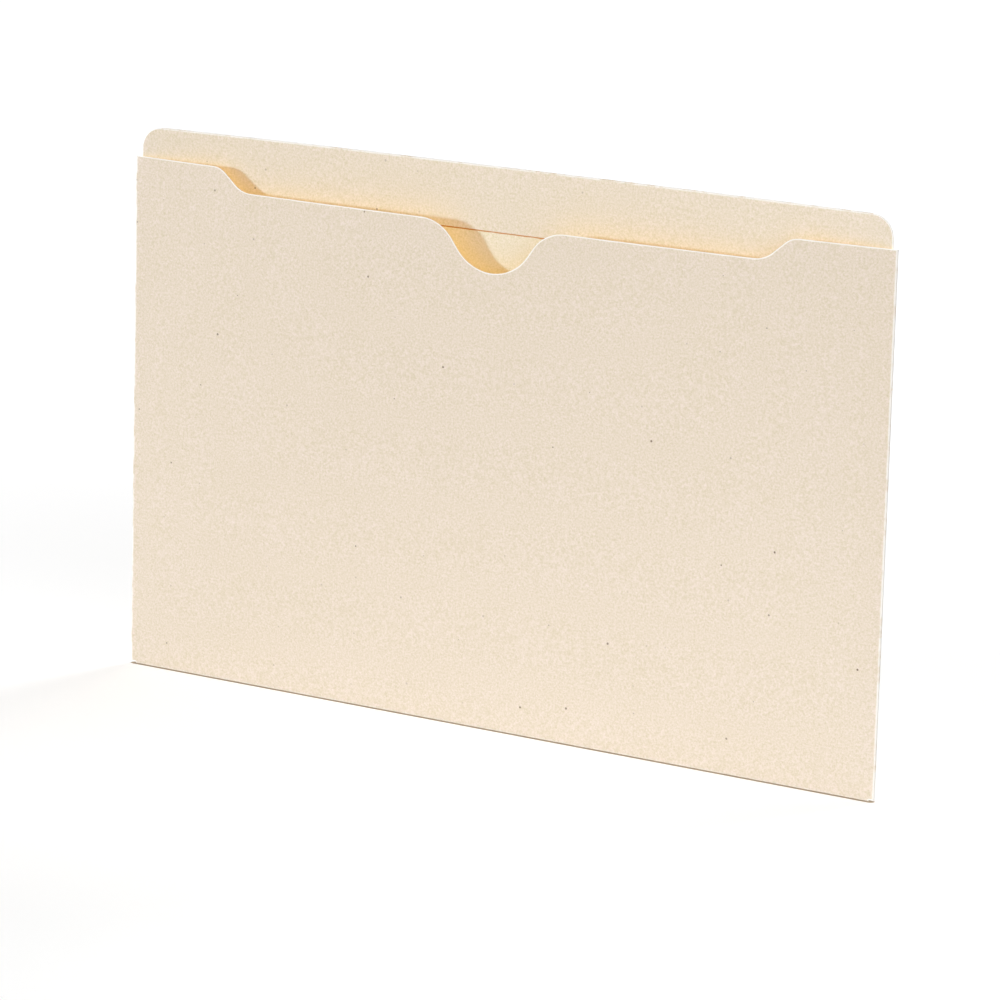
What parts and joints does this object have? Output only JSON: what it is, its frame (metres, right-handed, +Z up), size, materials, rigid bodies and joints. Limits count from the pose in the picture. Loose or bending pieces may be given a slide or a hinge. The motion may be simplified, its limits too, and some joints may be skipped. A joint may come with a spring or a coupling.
{
  "type": "file jacket",
  "caption": "Flat legal-size file jacket of folded manila card, with a full-width reinforced tab, an undercut front with a thumb cut, and a mouth that opens.",
  "frame": {"origin": "middle of the box round the whole jacket, at the height of its bottom fold", "axes": "+X along the width, to the right of someone who looks at the front; the front faces -Y; +Z up, from the bottom fold to the tab"},
  "size_m": [0.3746, 0.0112, 0.2413],
  "materials": {
    "card_outside": "matte manila card, 11-point stock, faint fibre mottle",
    "card_inside": "matte manila card, inner face of the pocket",
    "glue": "thin dried glue film between two plies of card"
  },
  "bodies": {
    "root": {"back_panel": "card_outside", "tab_inner_ply": "card_outside", "tab_glue": "glue", "tab_top_fold": "card_outside", "bottom_fold": "card_outside", "left_side_fold": "card_outside", "left_flap": "card_inside", "left_flap_glue": "glue", "right_side_fold": "card_outside", "right_flap": "card_inside", "right_flap_glue": "glue"},
    "front_centre": {"front_panel_centre": "card_outside"},
    "front_left": {"front_panel_left_side": "card_outside"},
    "front_right": {"front_panel_right_side": "card_outside"}
  },
  "joints": [
    {"name": "mouth_open", "type": "hinge", "parent": "root", "child": "front_centre", "pos_m": [0, 0.00022, 0.00063], "axis": [1, 0, 0], "range_deg": [-1.8, 5], "stiffness_Nm_per_rad": 1.5},
    {"name": "right_side_crease", "type": "hinge", "parent": "root", "child": "front_right", "pos_m": [0.1869, 0.00002, 0.00063], "axis": [0, 0, 1], "range_deg": [-3.84, 10.66]},
    {"name": "left_side_crease", "type": "hinge", "parent": "root", "child": "front_left", "pos_m": [-0.1869, 0.00002, 0.00063], "axis": [0, 0, -1], "range_deg": [-3.84, 10.66]}
  ],
  "couplings": [
    {"joint": "right_side_crease", "follows": "mouth_open", "ratio": 2.1271},
    {"joint": "left_side_crease", "follows": "mouth_open", "ratio": 2.1271}
  ]
}
